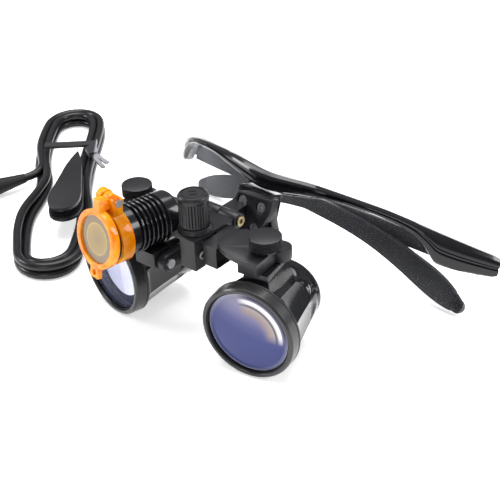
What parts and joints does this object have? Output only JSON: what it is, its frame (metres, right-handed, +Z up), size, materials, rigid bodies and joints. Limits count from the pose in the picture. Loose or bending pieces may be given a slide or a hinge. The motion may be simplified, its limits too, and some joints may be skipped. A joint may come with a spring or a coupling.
{
  "type": "dental loupes with headlight",
  "caption": "Flip-up magnifying loupes on a sports glasses frame, with a clip-on headlight, amber filter and coiled lead.",
  "frame": {"origin": "on the floor, in the middle of the glasses and loupes (cord set aside)", "axes": "+X towards the wearer's left, -Y the way the wearer looks, +Z up"},
  "size_m": [0.2387, 0.1214, 0.0581],
  "materials": {
    "frame_gloss_black": "gloss",
    "temple_matt": "matte",
    "clear_lens": "clear",
    "nose_pad": "clear, soft",
    "coated_glass": "blue-violet anti-reflection coating",
    "plain_glass": "clear",
    "ring_black": "satin",
    "barrel_gunmetal": "gloss",
    "satin_black_metal": "satin",
    "knob_metal": "satin, knurled",
    "steel": "brushed",
    "lamp_gunmetal": "gloss",
    "lamp_board": "matte",
    "amber": "translucent",
    "rubber_black": "matte",
    "cable_black": "semi-gloss",
    "tie_grey": "semi-gloss",
    "clip_black": "satin",
    "plug_metal": "polished"
  },
  "bodies": {
    "frame": {"brow_frame": "frame_gloss_black", "clear_lens_left": "clear_lens", "clear_lens_right": "clear_lens", "nose_bridge": "frame_gloss_black", "nose_pad_left": "nose_pad", "nose_pad_right": "nose_pad", "mount_plate": "satin_black_metal", "plate_screw_1": "steel", "plate_screw_2": "steel", "plate_screw_3": "steel", "hinge_base": "satin_black_metal", "hinge_pin": "steel", "temple_pin_left": "steel", "temple_pin_right": "steel", "cable_lead": "cable_black", "cable_hank": "cable_black", "twist_tie": "tie_grey", "clip_base": "clip_black", "clip_pin": "steel", "plug_body": "rubber_black", "plug_sleeve": "plug_metal"},
    "temple_left": {"temple_left": "temple_matt", "temple_tip_left": "temple_matt"},
    "temple_right": {"temple_right": "temple_matt", "temple_tip_right": "temple_matt"},
    "flip": {"flip_block": "satin_black_metal", "set_screw": "steel", "knob_collar": "knob_metal", "lamp_arm": "satin_black_metal", "lamp_screw": "steel"},
    "centre_knob": {"centre_knob": "knob_metal"},
    "slide_left": {"slide_arm_left": "satin_black_metal", "thumb_washer_left": "knob_metal"},
    "slide_right": {"slide_arm_right": "satin_black_metal", "thumb_washer_right": "knob_metal"},
    "thumb_left": {"thumb_knob_left": "knob_metal"},
    "thumb_right": {"thumb_knob_right": "knob_metal"},
    "barrel_left": {"front_ring_left": "barrel_gunmetal", "inner_ring_left": "ring_black", "objective_left": "coated_glass", "barrel_left": "barrel_gunmetal", "eye_lens_left": "plain_glass", "eye_ring_left": "barrel_gunmetal"},
    "barrel_right": {"front_ring_right": "barrel_gunmetal", "inner_ring_right": "ring_black", "objective_right": "coated_glass", "barrel_right": "barrel_gunmetal", "eye_lens_right": "plain_glass", "eye_ring_right": "barrel_gunmetal"},
    "headlight": {"lamp_foot": "satin_black_metal", "lamp_housing": "lamp_gunmetal", "lamp_cap": "lamp_gunmetal", "lamp_lens": "plain_glass", "lamp_board": "lamp_board", "filter_band": "amber", "filter_pin": "steel", "cable_relief": "rubber_black"},
    "filter": {"filter_cover": "amber", "filter_glass": "amber"},
    "clip_jaw": {"clip_jaw": "clip_black"}
  },
  "joints": [
    {"name": "flip_up", "type": "hinge", "parent": "frame", "child": "flip", "pos_m": [-0.00144, -0.009, 0.03965], "axis": [-1, 0, 0], "range_deg": [0, 75]},
    {"name": "temple_left_fold", "type": "hinge", "parent": "frame", "child": "temple_left", "pos_m": [0.0704, 0.04403, 0.01862], "axis": [-0.0155, -0.3417, -0.9397], "range_deg": [0, 87]},
    {"name": "temple_right_fold", "type": "hinge", "parent": "frame", "child": "temple_right", "pos_m": [-0.07046, 0.05043, 0.01862], "axis": [0.0155, 0.3417, 0.9397], "range_deg": [0, 90]},
    {"name": "slide_left_width", "type": "slide", "parent": "flip", "child": "slide_left", "axis": [1, 0, 0], "range_m": [-0.0008, 0.0045]},
    {"name": "slide_right_width", "type": "slide", "parent": "flip", "child": "slide_right", "axis": [-1, 0, 0], "range_m": [-0.0008, 0.0045]},
    {"name": "centre_knob_turn", "type": "hinge", "parent": "flip", "child": "centre_knob", "pos_m": [0.00076, -0.0244, 0.04825], "axis": [0, 0, 1], "continuous": true},
    {"name": "thumb_left_turn", "type": "hinge", "parent": "slide_left", "child": "thumb_left", "pos_m": [0.02776, -0.02, 0.04425], "axis": [0, 0, 1], "continuous": true},
    {"name": "thumb_right_turn", "type": "hinge", "parent": "slide_right", "child": "thumb_right", "pos_m": [-0.03064, -0.02, 0.04425], "axis": [0, 0, 1], "continuous": true},
    {"name": "barrel_left_swivel", "type": "hinge", "parent": "slide_left", "child": "barrel_left", "pos_m": [0.02776, -0.02, 0.03625], "axis": [0, 0, 1], "range_deg": [-4, 4]},
    {"name": "barrel_right_swivel", "type": "hinge", "parent": "slide_right", "child": "barrel_right", "pos_m": [-0.03064, -0.02, 0.03625], "axis": [0, 0, -1], "range_deg": [-4, 4]},
    {"name": "headlight_tilt", "type": "hinge", "parent": "flip", "child": "headlight", "pos_m": [-0.01144, -0.0321, 0.02995], "axis": [1, 0, 0], "range_deg": [-6, 6]},
    {"name": "filter_lift", "type": "hinge", "parent": "headlight", "child": "filter", "pos_m": [-0.0185, -0.04322, 0.05552], "axis": [-0.9903, 0.1392, 0], "range_deg": [-6, 150]},
    {"name": "clip_open", "type": "hinge", "parent": "frame", "child": "clip_jaw", "pos_m": [-0.09274, -0.0018, 0.0122], "axis": [0.7762, 0.6305, 0], "range_deg": [0, 8], "stiffness_Nm_per_rad": 0.05}
  ]
}
